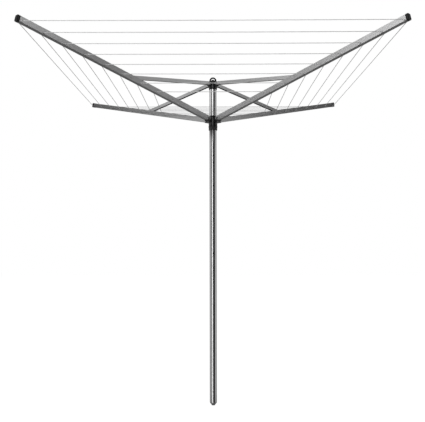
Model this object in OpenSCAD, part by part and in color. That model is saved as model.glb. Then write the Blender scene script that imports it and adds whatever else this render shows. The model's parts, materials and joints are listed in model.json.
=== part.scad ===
// Rotary clothesline that folds like an umbrella.
//
// Millimetres, +Z up, origin at the centre of the pole's foot. The arms stand on the
// diagonals of X and Y and are drawn open. A turning head sits on top of the pole and
// a runner slides below it. Each arm hinges on the runner, and a strut from the head
// to the middle of the arm holds it up. Lowering the runner folds the arms upward,
// and the struts then lie inside the arm channels.

/* [Pole] */
// Outer diameter of the pole
pole_d = 45; // [38:0.5:50]
// Wall of the pole
pole_wall = 1.5; // [1:0.1:2.5]
// Outer diameter of the pole's narrowed end
pole_end_d = 23; // [16:0.5:30]
// Height over which the pole narrows towards its end
pole_taper_h = 18; // [12:1:40]
// Thickness of the foot plug's lip under the pole
foot_lip = 2; // [1:0.5:5]
// Height of the rolled ring that marks how deep the pole stands in its ground socket
depth_mark_h = 350; // [200:5:450]

/* [Open shape] */
// Height of the strut pivots above the foot
head_h = 2001; // [1700:1:2200]
// Height of the strut pivots above the arm pivots with the arms open
hub_spread = 224; // [200:1:250]
// Slope of the open arms, in degrees
arm_tilt = 13.3; // [9:0.1:17]
// Slope of the folded arms, in degrees
fold_tilt = 88; // [85:0.5:88.5]

/* [Arms] */
// Length of the arm channel from its pivot to its tip
arm_len = 1308; // [1250:1:1500]
// Width of the arm channel
arm_w = 24; // [22:0.5:30]
// Height of the arm channel
arm_h = 31; // [28:0.5:36]
// Wall of the arm channel
arm_wall = 1.6; // [1.2:0.1:2]
// Distance from the arm pivot to the strut pivot, along the arm
strut_at = 626; // [590:1:660]
// Length of the end cap beyond the arm's tip
cap_len = 16; // [8:0.5:24]
// How far the end cap stands out around the channel
cap_lip = 1.25; // [1:0.25:3]
// Length of the end cap's plug inside the channel
cap_plug_len = 20; // [12:1:40]

/* [Struts] */
// Width of the strut channel
strut_w = 17; // [14:0.5:18]
// Height of the strut channel
strut_h = 21; // [16:0.5:22]
// Wall of the strut channel
strut_wall = 1.5; // [1:0.1:2]

/* [Lines] */
// Diameter of the drying line
line_d = 3.3; // [2.5:0.1:3.6]
// Gap around the line in the holes of the arms
line_play = 0.9; // [0.5:0.1:1.2]
// Spacing of the line holes along the arm
line_pitch = 124; // [110:1:140]
// Distance from the arm's tip to its outermost line hole
line_inset = 6; // [5:0.5:30]
// Height of the line holes above the arm's lower edge
line_hole_h = 7; // [5:0.1:8]
// How far outside the arm the line bends towards the next arm
line_bend = 3; // [2:0.5:6]

/* [Pivots] */
// Diameter of the pivot pins
pin_d = 8; // [6:0.5:9]
// Gap around a pin in its hole
pin_gap = 0.05; // [0.02:0.01:0.1]
// Diameter of the pin heads
pin_head_d = 12; // [11:0.5:15]
// Thickness of the pin heads
pin_head_t = 2; // [1:0.25:3]
// Side gap between parts that turn against each other
side_gap = 0.4; // [0.3:0.05:0.6]

/* [Hubs] */
// Gap between the pole and the parts that turn or slide on it
slide_gap = 0.3; // [0.2:0.05:0.5]
// Wall of the lower hub's sleeve
hub_wall = 4.5; // [3:0.1:5]
// Wall of the top hub's sleeve
head_wall = 2.4; // [2:0.1:3.5]
// Thickness of the lips beside the arms
lip_t = 3; // [2.5:0.25:5]
// Rim of the lower hub's lugs around the arm pins
lug_rim = 5.5; // [3:0.25:7]
// Gap between the hub sleeves and the rounded ends of arms and struts
end_gap = 3.4; // [3:0.1:8]
// Length of the top hub's sleeve below the strut pivots
head_skirt = 36; // [32:1:60]
// Height of the top hub above the strut pivots
head_rise = 2; // [1.5:0.5:8]
// Height of the lower hub's sleeve above the arm pivots
runner_rise = 20; // [18:1:45]
// Length of the lower hub's sleeve below the arm pivots
runner_skirt = 44; // [36:1:70]
// How far the lower hub's cradles reach beyond the arm pivots
runner_reach = 9; // [9:1:50]
// Thickness of the cradle floors
floor_t = 3; // [2:0.25:5]

/* [Lock collar] */
// Height of the lock collar
collar_h = 27; // [26:0.5:36]
// Wall of the lock collar
collar_wall = 4.4; // [3.6:0.1:5]
// Height of the bead around the collar's rim
bead_h = 9; // [6:0.5:12]
// How far the bead stands out
bead_t = 1.6; // [0.6:0.1:2.4]
// Width of the release lever
lever_w = 12; // [8:0.5:16]
// Diameter of the release lever's pin
lever_pin_d = 2.5; // [2:0.1:3]

/* [Head bearing] */
// Diameter of the spindle bolt that holds the head on the pole
bolt_d = 8; // [6:0.5:10]
// Length of the pole plug's stem inside the pole
plug_len = 30; // [20:1:60]
// Thickness of the pole plug's flange
plug_flange = 2.5; // [2:0.25:5]
// Thickness of the thrust washer
washer_t = 2; // [1:0.25:4]

/* [Hanging loop] */
// Thickness of the plate under the hanging loop
plate_t = 6; // [3:0.5:8]
// Width of the loop's opening
loop_w = 24.6; // [20:0.2:28]
// Thickness of the loop's bar
loop_bar = 9.8; // [7:0.2:11]
// Height of the block that carries the loop
loop_block_h = 14; // [8:0.5:20]
// Depth of the block that carries the loop
loop_block_d = 18; // [16:0.5:20]

/* [Hidden] */

$fn = 48;

arm_count = 4;
ring_count = 8;
eps = 0.01;

pole_r = pole_d / 2;
pole_end_r = pole_end_d / 2;
bore_r = pole_r + slide_gap;
sleeve_r = bore_r + hub_wall;
head_sleeve_r = bore_r + head_wall;
pin_r = pin_d / 2;
pin_hole_r = pin_r + pin_gap;
bolt_r = bolt_d / 2;

// Radii and heights of the pivots, and the slope and length of the struts that follow
arm_pivot_r = sleeve_r + end_gap + arm_h / 2;
strut_pivot_r = sleeve_r + end_gap + strut_h / 2;
runner_h = head_h - hub_spread;
knee_r = arm_pivot_r + strut_at * cos(arm_tilt);
knee_h = runner_h + strut_at * sin(arm_tilt);
strut_tilt = atan2(head_h - knee_h, knee_r - strut_pivot_r);
strut_len = norm([knee_r - strut_pivot_r, head_h - knee_h]);

// Line holes: distance along the arm and offset from the arm's centre line
line_hole_r = line_d / 2 + line_play;
line_drop = arm_h / 2 - line_hole_h;
function line_at(ring) = arm_len - line_inset - (ring - 1) * line_pitch;

// Lower hub and lock collar, measured from the seam between them
seam_h = runner_h - runner_skirt;
seam_gap = 0.2;
snap_len = 6.5;
snap_lip_h = 2;
snap_wall = 1.5;
snap_lip = 0.7;
collar_r = bore_r + collar_wall;
lip_in = arm_w / 2 + side_gap;
lip_out = lip_in + lip_t;

// Lugs inside the channels: their widths, and their outer radii about the pins
web_gap = 1;
head_lug_w = strut_w - 2 * strut_wall - 2 * side_gap;
head_lug_r = strut_h / 2 - strut_wall - web_gap;
runner_lug_w = arm_w - 2 * arm_wall - 2 * side_gap;
runner_lug_r = pin_r + lug_rim;

// Top of the pole and the stack of parts on it
stack_gap = 0.1;
ceiling_t = 12;
ceiling_h = head_h + head_rise - ceiling_t;
tube_top_h = ceiling_h - 2 * stack_gap - washer_t - plug_flange;
hub_top_h = head_h + head_rise;
block_h = hub_top_h + plate_t;
loop_h = block_h + loop_block_h;
bolt_head_h = 5;
bolt_head_r = 8.2;

function azimuth(i) = 45 + (i - 1) * 360 / arm_count;

// ---------- shared shapes ----------

// Stands children at the arm pivot of arm i, with X along the arm and Z up across it
module at_arm(i) {
    rotate([0, 0, azimuth(i)])
        translate([arm_pivot_r, 0, runner_h])
            rotate([0, -arm_tilt, 0])
                children();
}

// Stands children at the head pivot of strut i, with X along the strut
module at_strut(i) {
    rotate([0, 0, azimuth(i)])
        translate([strut_pivot_r, 0, head_h])
            rotate([0, strut_tilt, 0])
                children();
}

// A round bar along Y through the origin
module cross_bar(r, len) {
    rotate([90, 0, 0])
        cylinder(r = r, h = len, center = true);
}

// A rectangle with round corners, centred
module round_rect(w, h, r) {
    square([w - 2 * r, h], center = true);
    square([w, h - 2 * r], center = true);
    for (x = [-1, 1], y = [-1, 1])
        translate([x * (w / 2 - r), y * (h / 2 - r)])
            circle(r, $fn = 24);
}

// Runs a cross section in Y and Z along X
module along_x(from, to) {
    translate([from, 0, 0])
        rotate([90, 0, 90])
            linear_extrude(to - from)
                children();
}

// Cross section of a channel that is open at the top
module channel_section(w, h, wall, corner) {
    difference() {
        round_rect(w, h, corner);
        translate([0, wall])
            round_rect(w - 2 * wall, h, max(corner - wall, 0.4));
        translate([-w / 2 + wall, h / 2 - corner - wall])
            square([w - 2 * wall, h]);
    }
    for (side = [-1, 1])
        translate([side * (w - wall) / 2 - wall / 2, 0])
            square([wall, h / 2]);
}

// Side view of a bar that is rounded about a pivot at one or both ends
module rounded_side(h, len, far_round) {
    rotate([90, 0, 0])
        linear_extrude(4 * h, center = true) {
            circle(h / 2);
            translate([0, -h / 2])
                square([len, h]);
            if (far_round)
                translate([len, 0])
                    circle(h / 2);
        }
}

// A pin along Y with a domed head at each end
module headed_pin(r, shank, head_d, head_t) {
    cross_bar(r, shank + eps);
    for (side = [-1, 1])
        translate([0, side * shank / 2, 0])
            rotate([-side * 90, 0, 0])
                rotate_extrude()
                    polygon([
                        [0, 0],
                        [head_d / 2, 0],
                        [head_d / 2, head_t * 0.4],
                        [head_d * 0.4, head_t * 0.85],
                        [head_d * 0.22, head_t],
                        [0, head_t],
                    ]);
}

// Faces of a tube whose rings of points follow each other, closed on itself or capped
function tube_faces(rings, sides, closed) = concat(
    [
        for (i = [0 : rings - (closed ? 1 : 2)], j = [0 : sides - 1])
            [
                i * sides + j,
                i * sides + (j + 1) % sides,
                ((i + 1) % rings) * sides + (j + 1) % sides,
                ((i + 1) % rings) * sides + j,
            ]
    ],
    closed ? [] : [
        [for (j = [sides - 1 : -1 : 0]) j],
        [for (j = [0 : sides - 1]) (rings - 1) * sides + j],
    ]
);

// ---------- pole ----------

// Outer radius of the pole at a height within its narrowed end
function taper_r(z) =
    pole_end_r + (pole_r - pole_end_r) * (1 - cos(180 * (z - foot_lip) / (pole_taper_h - foot_lip))) / 2;

module pole_tube() {
    steps = 12;
    mark_w = 1.6;
    mark_t = 0.4;
    heights = [for (i = [0 : steps]) foot_lip + (pole_taper_h - foot_lip) * i / steps];
    outside = [for (z = heights) [taper_r(z), z]];
    mark = [
        [pole_r, depth_mark_h - mark_w / 2],
        [pole_r - mark_t, depth_mark_h - mark_w / 4],
        [pole_r - mark_t, depth_mark_h + mark_w / 4],
        [pole_r, depth_mark_h + mark_w / 2],
    ];
    rim = [[pole_r, tube_top_h], [pole_r - pole_wall, tube_top_h]];
    inside = [for (i = [steps : -1 : 0]) [taper_r(heights[i]) - pole_wall, heights[i]]];
    color("silver")
        rotate_extrude($fn = 96)
            polygon(concat(outside, mark, rim, inside));
}

module pole_foot_plug() {
    stem_r = pole_end_r - pole_wall - pin_gap;
    color("dimgray") {
        cylinder(r1 = pole_end_r - foot_lip / 2, r2 = pole_end_r, h = foot_lip / 2);
        translate([0, 0, foot_lip / 2])
            cylinder(r = pole_end_r, h = foot_lip / 2);
        cylinder(r = stem_r, h = foot_lip + pole_taper_h * 0.7);
    }
}

module pole_top_plug() {
    stem_r = pole_r - pole_wall - pin_gap;
    boss_r = bolt_r + 4;
    rim_t = 3;
    color("whitesmoke")
        difference() {
            union() {
                translate([0, 0, tube_top_h])
                    cylinder(r = pole_r, h = plug_flange);
                translate([0, 0, tube_top_h - plug_len])
                    cylinder(r = stem_r, h = plug_len);
            }
            translate([0, 0, tube_top_h - plug_len - 1])
                difference() {
                    cylinder(r = stem_r - rim_t, h = plug_len - 3);
                    cylinder(r = boss_r, h = plug_len);
                }
            translate([0, 0, tube_top_h - plug_len - 1])
                cylinder(r = bolt_r + pin_gap, h = plug_len + plug_flange + 2);
        }
}

module thrust_washer() {
    color("white")
        translate([0, 0, tube_top_h + plug_flange + stack_gap])
            difference() {
                cylinder(r = pole_r - 0.5, h = washer_t);
                translate([0, 0, -1])
                    cylinder(r = bolt_r + 0.5, h = washer_t + 2);
            }
}

// ---------- head ----------

// Side view of a top hub lug, with the strut pivot at the origin. The lug stands inside
// the strut channel, and the pin of the strut lies in its open seat.
module head_lug() {
    root = -strut_pivot_r + 8;
    sleeve = head_sleeve_r - strut_pivot_r;
    seat_flare = 20;
    seat_spread = head_rise * tan(seat_flare);
    difference() {
        union() {
            polygon([
                [root, -head_skirt + 5],
                [sleeve + 1, -head_skirt + 6],
                [-head_lug_r * 0.9, -strut_h * 0.8],
                [head_lug_r * 0.4, -strut_h / 2 - 2],
                [head_lug_r * 0.8, -strut_h / 2 + 1],
                [head_lug_r, 0],
                [head_lug_r, head_rise - 1.2],
                [head_lug_r - 0.8, head_rise - 0.4],
                [root, head_rise - 0.4],
            ]);
            intersection() {
                circle(head_lug_r);
                translate([-head_lug_r, -head_lug_r])
                    square([2 * head_lug_r, head_lug_r]);
            }
        }
        circle(pin_hole_r);
        polygon([
            [-pin_hole_r, 0],
            [pin_hole_r, 0],
            [pin_hole_r + seat_spread, head_rise],
            [-pin_hole_r - seat_spread, head_rise],
        ]);
    }
}

module top_hub() {
    edge = 1.5;
    color([0.1, 0.1, 0.11])
        difference() {
            union() {
                rotate_extrude($fn = 96)
                    polygon([
                        [0, head_h - head_skirt],
                        [head_sleeve_r - edge, head_h - head_skirt],
                        [head_sleeve_r, head_h - head_skirt + edge],
                        [head_sleeve_r, hub_top_h - edge],
                        [head_sleeve_r - edge, hub_top_h],
                        [0, hub_top_h],
                    ]);
                for (i = [1 : arm_count])
                    rotate([0, 0, azimuth(i)])
                        translate([strut_pivot_r, 0, head_h])
                            rotate([90, 0, 0])
                                linear_extrude(head_lug_w, center = true)
                                    head_lug();
            }
            translate([0, 0, head_h - head_skirt - 1])
                cylinder(r = bore_r, h = ceiling_h - head_h + head_skirt + 1, $fn = 96);
            translate([0, 0, ceiling_h - 1])
                cylinder(r = bolt_r + pin_gap, h = ceiling_t + 2);
        }
}

module top_plate() {
    plate_r = head_sleeve_r - 0.5;
    edge = 1;
    color([0.14, 0.14, 0.15])
        rotate_extrude($fn = 96)
            polygon([
                [bolt_r + pin_gap, hub_top_h],
                [plate_r, hub_top_h],
                [plate_r, block_h - edge],
                [plate_r - edge, block_h],
                [bolt_r + pin_gap, block_h],
            ]);
}

module hanging_loop() {
    loop_r = (loop_w + loop_bar) / 2;
    foot_w = 2 * head_sleeve_r - 1;
    color([0.09, 0.09, 0.1])
        difference() {
            union() {
                translate([0, 0, block_h])
                    linear_extrude(loop_block_h * 0.6)
                        round_rect(foot_w, loop_block_d, loop_block_d / 2 - 0.5);
                translate([0, 0, block_h + loop_block_h * 0.6])
                    linear_extrude(loop_block_h * 0.4, scale = [(loop_w + 2 * loop_bar) / foot_w, 1])
                        round_rect(foot_w, loop_block_d, loop_block_d / 2 - 0.5);
                translate([0, 0, loop_h])
                    rotate([90, 0, 0])
                        rotate_extrude(angle = 180, $fn = 64)
                            translate([loop_r, 0])
                                circle(loop_bar / 2, $fn = 32);
            }
            translate([0, 0, block_h - 1])
                cylinder(r = bolt_r + pin_gap, h = loop_block_h + 2);
        }
}

module spindle_bolt() {
    foot_h = tube_top_h - plug_len - 5;
    crown = 2.5;
    color([0.12, 0.12, 0.13]) {
        difference() {
            translate([0, 0, foot_h])
                cylinder(r = bolt_r, h = loop_h - foot_h + eps);
            translate([0, 0, foot_h + 2])
                difference() {
                    cylinder(r = bolt_r + 1, h = 1.6);
                    cylinder(r = bolt_r - 1, h = 1.6);
                }
        }
        translate([0, 0, loop_h])
            rotate_extrude()
                polygon(concat(
                    [[0, 0], [bolt_head_r, 0]],
                    [
                        for (a = [0 : 15 : 90])
                            [bolt_head_r - crown + crown * cos(a), bolt_head_h - crown + crown * sin(a)]
                    ],
                    [[0, bolt_head_h]]
                ));
    }
}

module spindle_clip() {
    groove_h = tube_top_h - plug_len - 3;
    color("darkgray")
        translate([0, 0, groove_h + 0.2])
            difference() {
                cylinder(r = bolt_r + 3.5, h = 1.2);
                translate([0, 0, -1])
                    cylinder(r = bolt_r - 1 + pin_gap, h = 4);
                translate([0, -bolt_r * 0.7, -1])
                    cube([bolt_r + 5, bolt_r * 1.4, 4]);
            }
}

// ---------- runner ----------

// Floor of a lower hub cradle, seen from the side, with the arm pivot at the origin
module cradle_floor() {
    root = -arm_pivot_r + 8;
    floor_top = -arm_h / 2 - side_gap;
    bend = -pin_r - 5;
    rise = 5;
    polygon([
        [root, floor_top + rise],
        [bend, floor_top],
        [runner_reach, floor_top],
        [runner_reach, floor_top - floor_t + 1],
        [runner_reach - 1, floor_top - floor_t],
        [bend, floor_top - floor_t],
        [root, floor_top - floor_t + rise],
    ]);
}

// Lip along one side of that floor
module cradle_lip() {
    root = -arm_pivot_r + 8;
    floor_top = -arm_h / 2 - side_gap;
    pin_room = pin_head_d / 2 + 2;
    cradle_floor();
    polygon([
        [root, floor_top],
        [runner_reach, floor_top],
        [runner_reach, floor_top + 1.2],
        [pin_room, -pin_room - 4],
        [-pin_room, -pin_room],
        [-pin_room - 2, -2],
        [root, 0],
    ]);
}

// Lug inside the arm channel that carries the arm's pin
module runner_lug() {
    root = -arm_pivot_r + 8;
    difference() {
        union() {
            circle(runner_lug_r);
            translate([root, -runner_lug_r])
                square([-root, 2 * runner_lug_r]);
        }
        circle(pin_hole_r);
    }
}

module lower_hub() {
    edge = 1.5;
    low = seam_h + seam_gap / 2;
    snap_r = bore_r + snap_wall;
    color([0.1, 0.1, 0.11])
        difference() {
            union() {
                rotate_extrude($fn = 96)
                    polygon([
                        [0, low - snap_len],
                        [snap_r + snap_lip - 0.4, low - snap_len],
                        [snap_r + snap_lip, low - snap_len + 0.8],
                        [snap_r + snap_lip, low - snap_len + snap_lip_h],
                        [snap_r, low - snap_len + snap_lip_h + 0.4],
                        [snap_r, low],
                        [sleeve_r - edge / 2, low],
                        [sleeve_r, low + edge / 2],
                        [sleeve_r, runner_h + runner_rise - 8],
                        [bore_r + hub_wall * 0.5, runner_h + runner_rise],
                        [0, runner_h + runner_rise],
                    ]);
                for (i = [1 : arm_count])
                    at_arm(i) {
                        for (side = [-1, 1])
                            translate([0, side * (lip_in + lip_out) / 2, 0])
                                rotate([90, 0, 0])
                                    linear_extrude(lip_t, center = true)
                                        cradle_lip();
                        rotate([90, 0, 0])
                            linear_extrude(2 * lip_out, center = true)
                                cradle_floor();
                        rotate([90, 0, 0])
                            linear_extrude(runner_lug_w, center = true)
                                runner_lug();
                    }
            }
            translate([0, 0, low - snap_len - 1])
                cylinder(r = bore_r, h = runner_skirt + runner_rise + snap_len + 2, $fn = 96);
        }
}

module arm_pivot_pins() {
    color("silver")
        for (i = [1 : arm_count])
            at_arm(i)
                headed_pin(pin_r, arm_w + 2 * pin_gap, pin_head_d, pin_head_t);
}

// ---------- lock collar ----------

// Lever and its seat are drawn with X outward from the pole and Z up from the collar's foot
lever_pivot_x = collar_r + 0.8;
lever_pivot_z = 9.5;
lever_gap = 0.4;
lever_pin_r = lever_pin_d / 2;
lever_seat_top = 17.6;
housing_t = 4.3;
housing_x = collar_r + 2.5;
spring_z = 4.2;
spring_r = 1.9;
spring_wire = 0.6;
pocket_x = bore_r + 1.2;

module at_lever() {
    rotate([0, 0, -90])
        translate([0, 0, seam_h - collar_h])
            children();
}

module lock_collar() {
    edge = 1;
    foot = seam_h - collar_h;
    top = seam_h - seam_gap / 2;
    snap_seat_r = bore_r + snap_wall + slide_gap;
    groove_low = seam_h - snap_len - seam_gap * 2;
    groove_top = seam_h - snap_len + snap_lip_h + 0.6;
    bead_steps = 8;
    bead = [
        for (i = [0 : bead_steps])
            [collar_r + bead_t * sin(180 * i / bead_steps), top - bead_h * (1 - i / bead_steps)]
    ];
    color([0.1, 0.1, 0.11])
        difference() {
            union() {
                rotate_extrude($fn = 96)
                    polygon(concat(
                        [[bore_r, foot], [collar_r - edge, foot], [collar_r, foot + edge]],
                        bead,
                        [
                            [snap_seat_r, top],
                            [snap_seat_r, groove_top],
                            [snap_seat_r + snap_lip, groove_top - 0.4],
                            [snap_seat_r + snap_lip, groove_low],
                            [bore_r, groove_low],
                        ]
                    ));
                at_lever()
                    translate([0, 0, 0.8])
                        linear_extrude(lever_seat_top)
                            intersection() {
                                translate([housing_x - 6, 0])
                                    round_rect(12, lever_w + 2 * housing_t, 2.5);
                                translate([bore_r + 0.6, -lever_w])
                                    square([12, 2 * lever_w]);
                            }
            }
            at_lever() {
                translate([pocket_x, -lever_w / 2 - lever_gap, -1])
                    cube([12, lever_w + 2 * lever_gap, lever_seat_top + 1]);
                translate([bore_r - 2, -lever_w / 2 - lever_gap, lever_pivot_z + 3.2])
                    cube([4, lever_w + 2 * lever_gap, lever_seat_top - lever_pivot_z - 3.2]);
                translate([lever_pivot_x, 0, lever_pivot_z])
                    cross_bar(lever_pin_r + pin_gap, lever_w + 2 * housing_t - 1);
            }
        }
}

module release_lever() {
    color([0.2, 0.2, 0.21])
        at_lever()
            translate([lever_pivot_x, 0, lever_pivot_z])
                difference() {
                    rotate([90, 0, 0])
                        linear_extrude(lever_w, center = true)
                            polygon([
                                [bore_r + 0.4 - lever_pivot_x, 4.4],
                                [bore_r + 0.4 - lever_pivot_x, 6.4],
                                [-2.6, 7.3],
                                [0.6, 7.1],
                                [2.6, 3.5],
                                [3.4, -1.5],
                                [3.0, -6.5],
                                [2.0, -7.9],
                                [0, -7.9],
                                [-0.2, -2.6],
                                [-2.6, -1.2],
                                [-3.0, 3.4],
                            ]);
                    cross_bar(lever_pin_r + pin_gap, lever_w + 2);
                }
}

module lever_pin() {
    color("silver")
        at_lever()
            translate([lever_pivot_x, 0, lever_pivot_z])
                cross_bar(lever_pin_r, lever_w + 2 * housing_t - 1.4);
}

module lever_spring() {
    sides = 6;
    turns = 3;
    steps = 12;
    start_x = pocket_x + spring_wire / 2 + 0.1;
    end_x = lever_pivot_x - spring_wire / 2 - 0.2;
    count = turns * steps + 1;
    points = [
        for (i = [0 : count - 1], j = [0 : sides - 1])
            let (
                a = 360 * i / steps,
                b = 360 * j / sides,
                r = spring_r + spring_wire / 2 * cos(b)
            )
            [
                start_x + (end_x - start_x) * i / (count - 1) + spring_wire / 2 * sin(b),
                r * cos(a),
                spring_z + r * sin(a),
            ]
    ];
    color("gainsboro")
        at_lever()
            polyhedron(points, tube_faces(count, sides, false));
}

// ---------- arms ----------

module arm(i) {
    color("lightsteelblue")
        at_arm(i)
            difference() {
                intersection() {
                    along_x(-arm_h, arm_len)
                        channel_section(arm_w, arm_h, arm_wall, 2);
                    rounded_side(arm_h, arm_len, false);
                }
                for (x = [0, strut_at])
                    translate([x, 0, 0])
                        cross_bar(pin_hole_r, arm_w + 2);
                for (ring = [1 : ring_count])
                    translate([line_at(ring), 0, -line_drop])
                        cross_bar(line_hole_r, arm_w + 2);
            }
}

module end_cap(i) {
    head_w = arm_w + 2 * cap_lip;
    head_h = arm_h + 2 * cap_lip;
    plug_gap = 0.1;
    plug_low = -line_drop + line_hole_r + 1;
    plug_h = arm_h / 2 - plug_low;
    panel_t = 0.8;
    color([0.1, 0.1, 0.11])
        at_arm(i) {
            difference() {
                hull() {
                    along_x(arm_len, arm_len + cap_len - 2.5)
                        round_rect(head_w, head_h, 5);
                    along_x(arm_len, arm_len + cap_len)
                        round_rect(head_w - 4, head_h - 4, 4);
                }
                along_x(arm_len + cap_len - panel_t, arm_len + cap_len + 1)
                    round_rect(head_w - 9, head_h - 9, 3);
            }
            translate([arm_len - cap_plug_len, -arm_w / 2 + arm_wall + plug_gap, plug_low])
                cube([cap_plug_len + 1, arm_w - 2 * arm_wall - 2 * plug_gap, plug_h]);
        }
}

module strut_pin(i) {
    color("silver")
        at_arm(i)
            translate([strut_at, 0, 0])
                headed_pin(pin_r, arm_w + 2 * pin_gap, pin_head_d, pin_head_t);
}

module strut_spacers(i) {
    inner = strut_w / 2 + 0.2;
    outer = arm_w / 2 - arm_wall - pin_gap;
    color("whitesmoke")
        at_arm(i)
            translate([strut_at, 0, 0])
                for (side = [-1, 1])
                    translate([0, side * (inner + outer) / 2, 0])
                        difference() {
                            cross_bar(pin_r + 3.6, outer - inner);
                            cross_bar(pin_hole_r, outer - inner + 2);
                        }
}

// ---------- struts ----------

module strut(i) {
    color("lightsteelblue")
        at_strut(i)
            difference() {
                intersection() {
                    along_x(-strut_h, strut_len + strut_h)
                        rotate(180)
                            channel_section(strut_w, strut_h, strut_wall, 1.8);
                    rounded_side(strut_h, strut_len, true);
                }
                for (x = [0, strut_len])
                    translate([x, 0, 0])
                        cross_bar(pin_hole_r, strut_w + 2);
            }
}

module strut_trunnion(i) {
    color("silver")
        at_strut(i)
            headed_pin(pin_r, strut_w + 2 * pin_gap, pin_d + 1.5, 1.2);
}

// ---------- lines ----------

// Corners of a ring of line, one on each side of every arm, in order round the pole
function ring_corners(ring) =
    let (
        s = line_at(ring),
        r = arm_pivot_r + s * cos(arm_tilt) + line_drop * sin(arm_tilt),
        z = runner_h + s * sin(arm_tilt) - line_drop * cos(arm_tilt),
        out = arm_w / 2 + line_bend
    )
    [
        for (i = [1 : arm_count], side = [-1, 1])
            let (a = azimuth(i))
            [r * cos(a) - side * out * sin(a), r * sin(a) + side * out * cos(a), z]
    ];

module line_ring(ring) {
    sides = 8;
    corners = ring_corners(ring);
    count = len(corners);
    points = [
        for (i = [0 : count - 1], j = [0 : sides - 1])
            let (
                here = corners[i],
                back = here - corners[(i + count - 1) % count],
                ahead = corners[(i + 1) % count] - here,
                turn = back / norm(back) + ahead / norm(ahead),
                outward = [turn.y, -turn.x, 0] / norm(turn),
                miter = 2 / norm(turn),
                b = 360 * (j + 0.5) / sides
            )
            here + line_d / 2 * (cos(b) * miter * outward + sin(b) * [0, 0, 1])
    ];
    color("white")
        polyhedron(points, tube_faces(count, sides, true));
}

// ---------- parts ----------

pole_tube();
pole_foot_plug();
pole_top_plug();
thrust_washer();
top_hub();
top_plate();
hanging_loop();
spindle_bolt();
spindle_clip();
lower_hub();
arm_pivot_pins();
lock_collar();
release_lever();
lever_pin();
lever_spring();
arm(1);  // arm_1
arm(2);  // arm_2
arm(3);  // arm_3
arm(4);  // arm_4
end_cap(1);  // end_cap_1
end_cap(2);  // end_cap_2
end_cap(3);  // end_cap_3
end_cap(4);  // end_cap_4
strut_pin(1);  // strut_pin_1
strut_pin(2);  // strut_pin_2
strut_pin(3);  // strut_pin_3
strut_pin(4);  // strut_pin_4
strut_spacers(1);  // strut_spacers_1
strut_spacers(2);  // strut_spacers_2
strut_spacers(3);  // strut_spacers_3
strut_spacers(4);  // strut_spacers_4
strut(1);  // strut_1
strut(2);  // strut_2
strut(3);  // strut_3
strut(4);  // strut_4
strut_trunnion(1);  // strut_trunnion_1
strut_trunnion(2);  // strut_trunnion_2
strut_trunnion(3);  // strut_trunnion_3
strut_trunnion(4);  // strut_trunnion_4
line_ring(1);  // line_ring_1
line_ring(2);  // line_ring_2
line_ring(3);  // line_ring_3
line_ring(4);  // line_ring_4
line_ring(5);  // line_ring_5
line_ring(6);  // line_ring_6
line_ring(7);  // line_ring_7
line_ring(8);  // line_ring_8
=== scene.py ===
import bpy
import json
import math
from mathutils import Matrix, Quaternion, Vector


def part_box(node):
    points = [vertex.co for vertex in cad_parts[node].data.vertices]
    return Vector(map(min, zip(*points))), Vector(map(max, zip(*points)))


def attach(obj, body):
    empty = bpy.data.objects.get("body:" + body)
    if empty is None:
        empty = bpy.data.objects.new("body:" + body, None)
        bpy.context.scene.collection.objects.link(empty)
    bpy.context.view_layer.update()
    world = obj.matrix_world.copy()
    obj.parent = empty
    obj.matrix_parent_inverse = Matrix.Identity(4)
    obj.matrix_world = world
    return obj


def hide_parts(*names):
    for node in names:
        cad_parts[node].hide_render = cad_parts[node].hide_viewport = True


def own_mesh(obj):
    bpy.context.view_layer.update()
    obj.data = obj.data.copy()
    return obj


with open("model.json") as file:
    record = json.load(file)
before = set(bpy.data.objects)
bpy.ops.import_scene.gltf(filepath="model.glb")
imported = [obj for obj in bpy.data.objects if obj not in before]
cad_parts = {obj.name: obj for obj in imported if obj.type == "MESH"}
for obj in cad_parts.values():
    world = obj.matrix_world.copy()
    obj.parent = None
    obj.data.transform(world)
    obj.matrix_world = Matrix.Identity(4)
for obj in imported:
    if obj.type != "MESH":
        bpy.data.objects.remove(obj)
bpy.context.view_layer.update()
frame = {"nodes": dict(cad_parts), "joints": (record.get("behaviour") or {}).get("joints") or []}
joints = {j["name"]: j for j in frame["joints"]}
armNumbers = range(1, 5)  # rear right, rear left, front left, front right
print("frame loaded,", len(frame["nodes"]), "nodes")

# the camera stands at waist height and looks slightly up
view = {
    "place": (0.007, -3.811, 1.008),
    "tiltUp": 2.85,  # degrees
    "roll": 0.07,
    "turn": 0.355,
    "lens": 51.58,  # millimetres
    "sensor": 36.0,
    "shift": 0.0047,
    "farthest": 60.0,
}


def addCamera():
    data = bpy.data.cameras.new("camera")
    data.lens = view["lens"]
    data.sensor_width = view["sensor"]
    data.shift_x = view["shift"]
    data.clip_end = view["farthest"]
    cam = bpy.data.objects.new("camera", data)
    cam.location = view["place"]
    angles = (90 + view["tiltUp"], view["roll"], view["turn"])
    cam.rotation_euler = [math.radians(a) for a in angles]
    bpy.context.scene.collection.objects.link(cam)
    bpy.context.scene.camera = cam


addCamera()
print("camera placed")


class Wire:  # one output socket, with which sums can be written
    def __init__(self, tree, socket):
        self.tree = tree
        self.socket = socket

    def maths(self, operation, first, second):
        return self.tree.add("ShaderNodeMath", {"operation": operation}, {0: first, 1: second})

    def __add__(self, other):
        return self.maths("ADD", self, other)

    def __radd__(self, other):
        return self.maths("ADD", other, self)

    def __sub__(self, other):
        return self.maths("SUBTRACT", self, other)

    def __rsub__(self, other):
        return self.maths("SUBTRACT", other, self)

    def __mul__(self, other):
        return self.maths("MULTIPLY", self, other)

    def __rmul__(self, other):
        return self.maths("MULTIPLY", other, self)

    def __abs__(self):
        return self.maths("ABSOLUTE", self, 0.0)

    def larger(self, other):
        return self.maths("MAXIMUM", self, other)

    def also(self, output):  # another output of the same node
        return Wire(self.tree, self.socket.node.outputs[output])


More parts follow.
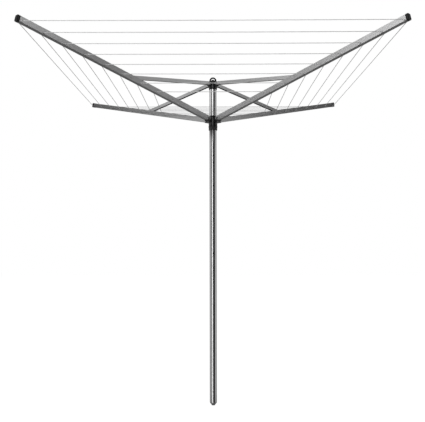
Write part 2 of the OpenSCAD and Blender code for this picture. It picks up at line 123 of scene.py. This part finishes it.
class NodeTree:  # adds nodes to a material or the world
    def __init__(self, owner):
        owner.use_nodes = True
        self.tree = owner.node_tree
        self.tree.nodes.clear()

    def add(self, kind, settings=None, values=None, output=0):
        node = self.tree.nodes.new(kind)
        for name, value in (settings or {}).items():
            setattr(node, name, value)
        for name, value in (values or {}).items():
            if isinstance(value, Wire):
                self.tree.links.new(value.socket, node.inputs[name])
            else:
                node.inputs[name].default_value = value
        return Wire(self, node.outputs[output]) if len(node.outputs) else None

    def place(self):  # position on the object, in metres
        return self.add("ShaderNodeTexCoord", output="Object")

    def noise(self, place, scale, detail=3.0, roughness=0.5):
        if isinstance(scale, tuple):  # a scale of its own along each axis
            stretch = {"operation": "MULTIPLY"}
            place, scale = self.add("ShaderNodeVectorMath", stretch, {0: place, 1: scale}), 1.0
        return self.add(
            "ShaderNodeTexNoise", None,
            {"Vector": place, "Scale": scale, "Detail": detail, "Roughness": roughness},
        )

    def smooth(self, value, low, high):  # 0 below low, 1 above high
        return self.add(
            "ShaderNodeMapRange", {"interpolation_type": "SMOOTHSTEP"},
            {"Value": value, "From Min": low, "From Max": high},
        )

    def mixed(self, factor, first, second):  # two colours, by the Mix node's colour sockets
        colours = {0: factor, 6: first, 7: second}
        return self.add("ShaderNodeMix", {"data_type": "RGBA"}, colours, output=2)

    def bumped(self, height, strength, distance):
        return self.add(
            "ShaderNodeBump", None,
            {"Height": height, "Strength": strength, "Distance": distance},
        )

    def finish(self, values):
        shader = self.add("ShaderNodeBsdfPrincipled", None, values)
        self.add("ShaderNodeOutputMaterial", None, {"Surface": shader})


def newMaterial(name):
    material = bpy.data.materials.new(name)
    return material, NodeTree(material)


def colour(values, brightness=1.0):
    return tuple(v * brightness for v in values) + (1.0,)


def dress(material, *names):  # gives CAD nodes a material
    for name in names:
        mesh = frame["nodes"][name].data
        mesh.materials.clear()
        mesh.materials.append(material)


def numbered(stem):
    return [f"{stem}_{i}" for i in armNumbers]


# zinc-plated tube, drawn along its length and rubbed where the runner slides
poleSteel = {
    "colour": (0.62, 0.62, 0.621),
    "rubbedColour": (0.68, 0.68, 0.68),
    "roughness": 0.07,
    "drawnScale": (900.0, 900.0, 6.0),
    "cloudScale": (14.0, 14.0, 3.0),
    "scratchScale": (380.0, 380.0, 1.4),
    "slideFrom": 0.66,  # heights, in metres
    "slideTo": 1.74,
    "soilFrom": 0.30,
    "soilTo": 0.40,
    # painted shade under the collar: its heights, its side and its depth
    "collarShadeFrom": 1.57,
    "collarShadeTo": 1.71,
    "collarShadeSide": (0.008, 0.016),  # where it ends, to the right of the pole's middle
    "collarShadeDepth": 0.9,
}


def makePoleSteel():
    material, tree = newMaterial("poleSteel")
    place = tree.place()
    axes = tree.add("ShaderNodeSeparateXYZ", None, {"Vector": place})
    height = axes.also("Z")
    drawn = tree.noise(place, poleSteel["drawnScale"], 4.0, 0.6)
    clouds = tree.noise(place, poleSteel["cloudScale"])
    scratches = tree.noise(place, poleSteel["scratchScale"], 2.0, 0.7)
    low, high = poleSteel["slideFrom"], poleSteel["slideTo"]
    travel = tree.smooth(height, low - 0.05, low + 0.05)
    travel = travel * (1 - tree.smooth(height, high - 0.03, high))
    rubbed = travel * tree.smooth(scratches, 0.56, 0.66)
    # dulled in the ground socket
    soil = 1 - tree.smooth(height + 0.05 * clouds, poleSteel["soilFrom"], poleSteel["soilTo"])
    plain = poleSteel["colour"]
    base = tree.mixed(clouds * 0.4, colour(plain), colour(plain, 0.92))
    base = tree.mixed(drawn * 0.2, base, colour(plain, 0.8))
    base = tree.mixed(rubbed * 0.5, base, colour(poleSteel["rubbedColour"]))
    base = tree.mixed(soil * 0.2, base, colour(plain, 0.8))
    # painted shade under the collar, darkest just below it, on the pole's left side
    low, high = poleSteel["collarShadeFrom"], poleSteel["collarShadeTo"]
    collarShade = tree.smooth(height, low, high)
    collarShade = collarShade * collarShade * (1 - tree.smooth(height, high, high + 0.02))
    collarShade = collarShade * (1 - tree.smooth(axes, *poleSteel["collarShadeSide"]))
    base = tree.mixed(collarShade * poleSteel["collarShadeDepth"], base, colour(plain, 0.1))
    wear = 0.04 * drawn + 0.03 * clouds + 0.04 * rubbed + 0.04 * soil
    tree.finish({
        "Base Color": base,
        "Metallic": 1.0,
        "Roughness": poleSteel["roughness"] + wear,
        "Normal": tree.bumped(drawn, 0.003, 0.0001),
    })
    return material


# mill-finish aluminium, with die lines along each extrusion
extruded = {
    "arm": {
        "colour": (0.44, 0.44, 0.442),
        "slope": 13.3,  # degrees, rising away from the pole
        "roughness": 0.27,
        "hollow": 0.0112,  # from the middle of the bar to the middle of a side wall
        "wall": 0.0016,
    },
    "strut": {
        "colour": (0.56, 0.56, 0.562),
        "slope": -7.42,
        "roughness": 0.24,
        "hollow": 0.00775,
        "wall": 0.0015,
    },
}
# scales of the patterns along the bar, sideways and up
extrusionGrain = {
    "dieLines": (1.2, 600.0, 600.0),
    "streaks": (2.5, 160.0, 160.0),
    "clouds": (7.0, 30.0, 30.0),
    "scuffs": (60.0, 260.0, 420.0),
}


def webFaces(bar, slope):  # a third and two thirds of the way through the channel's web
    wall = extruded[bar]["wall"]
    corners = [v.co for v in frame["nodes"][bar + "_1"].data.vertices]
    rises = [v.z * math.cos(slope) - math.hypot(v.x, v.y) * math.sin(slope) for v in corners]
    outer, inward = (min(rises), 1) if bar == "arm" else (max(rises), -1)
    return sorted(outer + inward * wall * share for share in (0.33, 0.67))


def makeExtruded(bar):
    # the four bars stand on the diagonals, so one set of directions serves them all
    settings = extruded[bar]
    slope = math.radians(settings["slope"])
    material, tree = newMaterial(bar + "Metal")
    axes = tree.add("ShaderNodeSeparateXYZ", None, {"Vector": tree.place()})
    across, along = abs(axes), abs(axes.also("Y"))
    reach = (across + along) * math.sqrt(0.5)
    side = (across - along) * math.sqrt(0.5)
    rise = axes.also("Z") * math.cos(slope) - reach * math.sin(slope)
    # each bar takes its pattern from a place of its own
    which = axes.maths("SIGN", axes, 0.0) * 3.1 + axes.maths("SIGN", axes.also("Y"), 0.0) * 1.7
    place = tree.add("ShaderNodeCombineXYZ", None, {"X": reach + which, "Y": side, "Z": rise})
    dieLines = tree.noise(place, extrusionGrain["dieLines"], 3.0, 0.6)
    streaks = tree.noise(place, extrusionGrain["streaks"])
    clouds = tree.noise(place, extrusionGrain["clouds"])
    scuffs = tree.noise(place, extrusionGrain["scuffs"], 3.0, 0.7)
    scuffed = tree.smooth(scuffs, 0.66, 0.74)
    plain = settings["colour"]
    base = tree.mixed(tree.smooth(streaks, 0.35, 0.75) * 0.6, colour(plain), colour(plain, 0.92))
    base = tree.mixed(clouds * 0.5, base, colour(plain, 1.06))
    base = tree.mixed(scuffed * 0.3, base, colour(plain, 1.15))
    # painted shade inside the channel: a darker base colour there, and a rougher surface
    low, high = webFaces(bar, slope)
    inside = tree.smooth(rise, low, high) if bar == "arm" else tree.smooth(rise, high, low)
    half, blur = settings["hollow"], 0.0002
    inside = inside * tree.smooth(abs(side), half + blur, half - blur)
    base = tree.mixed(inside * 0.6, base, colour(plain, 0.25))
    wear = 0.06 * dieLines + 0.06 * clouds - 0.05 * scuffed + 0.1 * inside
    tree.finish({
        "Base Color": base,
        "Metallic": 1.0,
        "Roughness": settings["roughness"] + wear,
        "Normal": tree.bumped(dieLines + 0.6 * streaks, 0.015, 0.0002),
    })
    return material


# small steel parts: zinc-plated clip, spring and strut pins, blackened bolt and pivots
smallSteel = {
    "zinc": {
        "colour": (0.46, 0.46, 0.46),
        "tint": (0.44, 0.42, 0.35),
        "roughness": 0.3,
    },
    "blackened": {
        "colour": (0.022, 0.022, 0.023),
        "tint": (0.05, 0.048, 0.045),
        "roughness": 0.36,
    },
}
platedGrain = {"clouds": 220.0, "grain": 2600.0}


def makeSmallSteel(finish):
    settings = smallSteel[finish]
    material, tree = newMaterial(finish + "Steel")
    place = tree.place()
    clouds = tree.noise(place, platedGrain["clouds"])
    grain = tree.noise(place, platedGrain["grain"], 2.0)
    patches = tree.smooth(clouds, 0.45, 0.75)
    base = tree.mixed(patches * 0.5, colour(settings["colour"]), colour(settings["tint"]))
    tree.finish({
        "Base Color": base,
        "Metallic": 1.0,
        "Roughness": settings["roughness"] + 0.14 * grain,
        "Normal": tree.bumped(grain, 0.1, 0.0001),
    })
    return material


# moulded plastics: glossy hubs, duller caps and loop, dark lever, white bearings
plastics = {
    "black": {
        "colour": (0.005, 0.005, 0.0055),
        "worn": (0.025, 0.025, 0.026),
        "roughness": 0.18,
        "wear": 0.25,
        "shine": 0.45,
    },
    "cap": {
        "colour": (0.005, 0.005, 0.0055),
        "worn": (0.025, 0.025, 0.026),
        "roughness": 0.34,
        "wear": 0.25,
        "shine": 0.3,
    },
    "dark": {
        "colour": (0.014, 0.014, 0.015),
        "worn": (0.05, 0.05, 0.05),
        "roughness": 0.3,
        "wear": 0.4,
        "shine": 0.3,
    },
    "white": {
        "colour": (0.78, 0.78, 0.76),
        "worn": (0.62, 0.61, 0.57),
        "roughness": 0.36,
        "wear": 0.4,
        "shine": 0.5,
    },
}
mouldedGrain = {
    "grain": 3200.0,
    "flow": (30.0, 30.0, 12.0),
    "rubs": (500.0, 500.0, 90.0),
}


def makePlastic(name):
    settings = plastics[name]
    material, tree = newMaterial(name + "Plastic")
    place = tree.place()
    grain = tree.noise(place, mouldedGrain["grain"], 2.0, 0.6)
    flow = tree.noise(place, mouldedGrain["flow"])
    rubs = tree.noise(place, mouldedGrain["rubs"], 3.0, 0.7)
    worn = tree.smooth(rubs, 0.62, 0.72) * tree.smooth(flow, 0.45, 0.6)
    plain = settings["colour"]
    base = tree.mixed(flow * 0.4, colour(plain), colour(plain, 1.35))
    base = tree.mixed(worn * settings["wear"], base, colour(settings["worn"]))
    tree.finish({
        "Base Color": base,
        "Roughness": settings["roughness"] + 0.08 * grain + 0.06 * flow - 0.06 * worn,
        "Specular IOR Level": settings["shine"],
        "Normal": tree.bumped(grain + 0.5 * flow, 0.1, 0.0001),
    })
    return material


dress(makePoleSteel(), "pole_tube")
dress(makeExtruded("arm"), *numbered("arm"))
dress(makeExtruded("strut"), *numbered("strut"))
dress(makeSmallSteel("zinc"), "spindle_clip", "lever_pin", "lever_spring", *numbered("strut_pin"))
dress(makeSmallSteel("blackened"), "spindle_bolt", "arm_pivot_pins", *numbered("strut_trunnion"))
dress(makePlastic("black"), "top_hub", "top_plate", "lower_hub", "lock_collar")
dress(makePlastic("cap"), "hanging_loop", *numbered("end_cap"))
dress(makePlastic("dark"), "release_lever", "pole_foot_plug")
dress(makePlastic("white"), "pole_top_plug", "thrust_washer", *numbered("strut_spacers"))
print("frame dressed")


# drying line: eight squares, each of eight half sides, and a bend through every hole
lineCord = {
    "colour": (0.60, 0.60, 0.60),
    "roughness": 0.35,
    "cloudScale": 35.0,
    "strandScale": 900.0,
    "rings": 8,
    "thickness": 0.0033,
    "sides": 10,
    "frameSides": 8,  # of the frame's own rings
    "cornerOut": 0.015,  # from the middle of the arm to the corner of the line
    "bendTurn": 45.0,  # degrees, from across the arm to along the line
    "bendRadius": 0.006,
    "bendSteps": 5,
    "spanSteps": 22,
    "sag": 0.0007,  # share of the whole span
    "flatness": 0.05,  # what is left of a half's width when the arms are folded
}


def makeLineMaterial():
    material, tree = newMaterial("lineCord")
    place = tree.place()
    clouds = tree.noise(place, lineCord["cloudScale"])
    strands = tree.noise(place, lineCord["strandScale"], 2.0)
    plain = lineCord["colour"]
    base = tree.mixed(clouds * 0.6, colour(plain), colour(plain, 0.9))
    tree.finish({
        "Base Color": base,
        "Roughness": lineCord["roughness"] + 0.15 * strands,
        "Normal": tree.bumped(strands, 0.15, 0.0002),
    })
    return material


lineMaterial = makeLineMaterial()


def tubeMesh(paths, radius, sides):
    # a round tube along each path, its rings square to the path and its ends closed
    points, faces = [], []
    for path in paths:
        first = len(points)
        for k, here in enumerate(path):
            ahead = path[min(k + 1, len(path) - 1)] - path[max(k - 1, 0)]
            outward = ahead.cross(Vector((0, 0, 1))).normalized()
            upward = outward.cross(ahead).normalized()
            for s in range(sides):
                turn = 2 * math.pi * s / sides
                points.append(here + radius * (math.cos(turn) * outward + math.sin(turn) * upward))
        for k in range(len(path) - 1):
            for s in range(sides):
                low, after = first + k * sides, (s + 1) % sides
                faces.append((low + s, low + after, low + sides + after, low + sides + s))
        last = first + (len(path) - 1) * sides
        faces.append(tuple(first + s for s in reversed(range(sides))))
        faces.append(tuple(last + s for s in range(sides)))
    return points, faces


def newPiece(name, points, faces, material):
    mesh = bpy.data.meshes.new(name)
    mesh.from_pydata([tuple(p) for p in points], [], faces)
    mesh.materials.append(material)
    for face in mesh.polygons:
        face.use_smooth = len(face.vertices) == 4
    piece = bpy.data.objects.new(name, mesh)
    bpy.context.scene.collection.objects.link(piece)
    return piece


class Arm:  # where arm i stands, and how it folds
    def __init__(self, i):
        joint = joints[f"arm_{i}_fold"]
        self.name = f"arm_{i}"
        self.pivot = Vector(joint["pos_m"])
        self.radial = Vector((self.pivot.x, self.pivot.y, 0)).normalized()
        self.sideways = Vector((-self.radial.y, self.radial.x, 0))
        turn = math.radians(joint["range_deg"][1])
        self.folding = Matrix.Rotation(turn, 3, Vector(joint["axis"]))

    def folded(self, point):  # a point on the arm once folded, before the runner slides
        return self.pivot + self.folding @ (point - self.pivot)


def ringCorner(ring):
    # height of a ring and how far from the pole's axis its corners are in the arms' planes
    low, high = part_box(f"line_ring_{ring}")
    flat = math.cos(math.pi / lineCord["frameSides"]) * lineCord["thickness"] / 2
    reach = (high.y - flat) * math.sqrt(2) - lineCord["cornerOut"]
    return reach, (low.z + high.z) / 2


def bendPath(arm, ring):
    # through the hole, with a round bend towards the next arm on each side
    reach, height = ringCorner(ring)
    middle = arm.radial * reach + Vector((0, 0, height))
    radius, wholeTurn = lineCord["bendRadius"], math.radians(lineCord["bendTurn"])
    straight = lineCord["cornerOut"] - radius * math.tan(wholeTurn / 2)
    path = []
    for k in range(lineCord["bendSteps"] + 1):
        turn = wholeTurn * k / lineCord["bendSteps"]
        out = straight + radius * math.sin(turn)
        inward = radius * (1 - math.cos(turn))
        path.append(middle + arm.sideways * out - arm.radial * inward)
    mirrored = [p - 2 * (p - middle).dot(arm.sideways) * arm.sideways for p in reversed(path)]
    return mirrored + path


def halfSpan(start, side, arm):
    # from the end of the bend to the middle of the span, with the line's slight sag
    away = (arm.sideways * side - arm.radial).normalized()
    length = -start.dot(away)
    dip = lineCord["sag"] * 2 * length
    path = []
    for k in range(lineCord["spanSteps"] + 1):
        t = k / lineCord["spanSteps"]
        path.append(start + away * length * t - Vector((0, 0, dip * (2 * t - t * t))))
    return path, away


def hangWhenFolded(piece, path, away, arm):
    # works out, from a square equation, how far the half would drop to hang beside the folded arm
    # and meet its other half, and gives the piece a mesh of its own; the result is not applied to
    # the half
    span = path[-1] - path[0]
    start = arm.folded(path[0])
    turned = arm.folding @ span
    gap = -start.dot(away)
    rest, across, down = 1 - lineCord["flatness"], turned.dot(away), -turned.z
    product = (2 - rest) * down
    constant = gap * gap - (2 - rest) * gap * across + (1 - rest) * span.length_squared
    drop = (product + math.sqrt(product * product - 4 * constant)) / 2
    hanging = arm.folding.inverted() @ (away * gap - Vector((0, 0, drop)))
    direction = (span - hanging).normalized()
    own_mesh(piece)


def makeLines():
    radius, sides = lineCord["thickness"] / 2, lineCord["sides"]
    for i in armNumbers:
        arm = Arm(i)
        bends = [bendPath(arm, ring) for ring in range(1, lineCord["rings"] + 1)]
        points, faces = tubeMesh(bends, radius, sides)
        piece = newPiece(f"line_bends_{i}", points, faces, lineMaterial)
        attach(piece, arm.name)
        for ring, bend in enumerate(bends, 1):
            for letter, side, start in (("a", -1, bend[0]), ("b", 1, bend[-1])):
                path, away = halfSpan(start, side, arm)
                points, faces = tubeMesh([path], radius, sides)
                piece = newPiece(f"line_{ring}_{i}{letter}", points, faces, lineMaterial)
                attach(piece, arm.name)
                hangWhenFolded(piece, path, away, arm)
                if letter == "a" and i == 1:  # the first half stands for the whole ring
                    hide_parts(f"line_ring_{ring}")


makeLines()
print("lines strung")

# white paper under and behind the dryer, in a room that is dim in front and below
stage = {
    "floorColour": (0.25, 0.25, 0.25),
    "floorGlow": 0.88,  # for the camera alone, so that the lit floor just reaches white
    "floorFrom": -3.0,
    "floorTo": 14.0,
    "floorHalf": 12.0,
    "lightLevel": 0.5,
    "behind": 0.52,  # what polished metal shows of the paper behind
    "behindFrom": 0.15,
    "behindTo": 0.65,
    "horizonFrom": -0.45,
    "horizonTo": -0.15,
    "below": 0.12,
    "belowFrom": -0.15,
    "belowTo": -0.5,
    "dimRoom": 0.03,
}

# sizes and places in metres, rolls in degrees
lamps = [
    {
        "name": "stripHigh",
        "place": (-0.44, -2.9, 2.75),
        "aim": (0, 0, 2.75),
        "size": (1.3, 1.2),
        "radiance": 2.3,
    },
    {
        "name": "stripLow",
        "place": (-1.06, -2.85, 0.55),
        "aim": (0, 0, 0.55),
        "size": (0.86, 3.2),
        "roll": -4,
        "radiance": 2.5,
    },
    {
        "name": "leftHigh",
        "place": (-3.2, 0.0, 2.54),
        "aim": (0, 0, 2.54),
        "size": (1.8, 0.68),
        "radiance": 0.95,
    },
    {
        "name": "leftMiddle",
        "place": (-3.2, -1.55, 2.75),
        "aim": (0, -1.55, 2.75),
        "size": (1.3, 1.1),
        "radiance": 1.1,
    },
    {
        "name": "leftLow",
        "place": (-3.2, -0.9, 0.65),
        "aim": (0, -0.9, 0.65),
        "size": (2.6, 3.1),
        "radiance": 0.70,
    },
    {
        "name": "leftBox",
        "place": (-3.2, -2.5, 4.1),
        "aim": (0.7, -0.7, 2.0),
        "size": (2.0, 1.6),
        "radiance": 2.4,
    },
    {
        "name": "rightHigh",
        "place": (3.2, -0.55, 2.65),
        "aim": (0, -0.55, 2.65),
        "size": (1.8, 0.9),
        "radiance": 0.67,
    },
    {
        "name": "rightLow",
        "place": (3.2, -0.4, 0.65),
        "aim": (0, -0.4, 0.65),
        "size": (2.6, 3.1),
        "radiance": 0.62,
    },
    {
        "name": "rightBox",
        "place": (3.2, -2.5, 4.0),
        "aim": (-0.7, -0.7, 2.0),
        "size": (2.0, 1.4),
        "radiance": 1.4,
    },
    {
        "name": "above",
        "place": (0, 0, 4.8),
        "aim": (0, 0, 0),
        "size": (3.0, 3.0),
        "radiance": 0.8,
    },
]


def makeFloor():
    material, tree = newMaterial("paper")
    paper = tree.add("ShaderNodeBsdfDiffuse", None, {"Color": colour(stage["floorColour"])})
    rays = tree.add("ShaderNodeLightPath", output="Is Camera Ray")
    glow = tree.add("ShaderNodeEmission", None, {"Strength": rays * stage["floorGlow"]})
    both = tree.add("ShaderNodeAddShader", None, {0: paper, 1: glow})
    tree.add("ShaderNodeOutputMaterial", None, {"Surface": both})
    half, near, far = stage["floorHalf"], stage["floorFrom"], stage["floorTo"]
    corners = [(-half, near, 0), (half, near, 0), (half, far, 0), (-half, far, 0)]
    floor = newPiece("floor", corners, [(0, 1, 2, 3)], material)
    floor.visible_glossy = False


def makeWorld():
    world = bpy.data.worlds.new("studio")
    bpy.context.scene.world = world
    tree = NodeTree(world)
    direction = tree.add("ShaderNodeTexCoord", output="Generated")
    axes = tree.add("ShaderNodeSeparateXYZ", None, {"Vector": direction})
    backward, upward = axes.also("Y"), axes.also("Z")
    rays = tree.add("ShaderNodeLightPath", output="Is Camera Ray")
    shown = rays.also("Is Glossy Ray").larger(rays.also("Is Transmission Ray"))
    behind = tree.smooth(backward, stage["behindFrom"], stage["behindTo"])
    behind = behind * tree.smooth(upward, stage["horizonFrom"], stage["horizonTo"])
    below = tree.smooth(upward, stage["belowFrom"], stage["belowTo"])
    reflected = stage["dimRoom"] + behind * stage["behind"] + below * stage["below"]
    strength = stage["lightLevel"] * (1 - shown) + reflected * shown
    strength = strength * (1 - rays) + rays
    sky = tree.add("ShaderNodeBackground", None, {"Color": (1, 1, 1, 1), "Strength": strength})
    tree.add("ShaderNodeOutputWorld", None, {"Surface": sky})


def addLamp(settings):
    data = bpy.data.lights.new(settings["name"], "AREA")
    data.shape = "RECTANGLE"
    data.size, data.size_y = settings["size"]
    data.energy = settings["radiance"] * math.pi * data.size * data.size_y
    lamp = bpy.data.objects.new(settings["name"], data)
    lamp.location = settings["place"]
    facing = Vector(settings["aim"]) - Vector(settings["place"])
    turn = facing.to_track_quat("-Z", "Y")
    lean = Quaternion((0, 0, 1), math.radians(settings.get("roll", 0)))
    lamp.rotation_euler = (turn @ lean).to_euler()
    lamp.visible_camera = False
    bpy.context.scene.collection.objects.link(lamp)


makeFloor()
makeWorld()
for lamp in lamps:
    addLamp(lamp)
bpy.context.scene.view_settings.view_transform = "Standard"
print("stage lit")
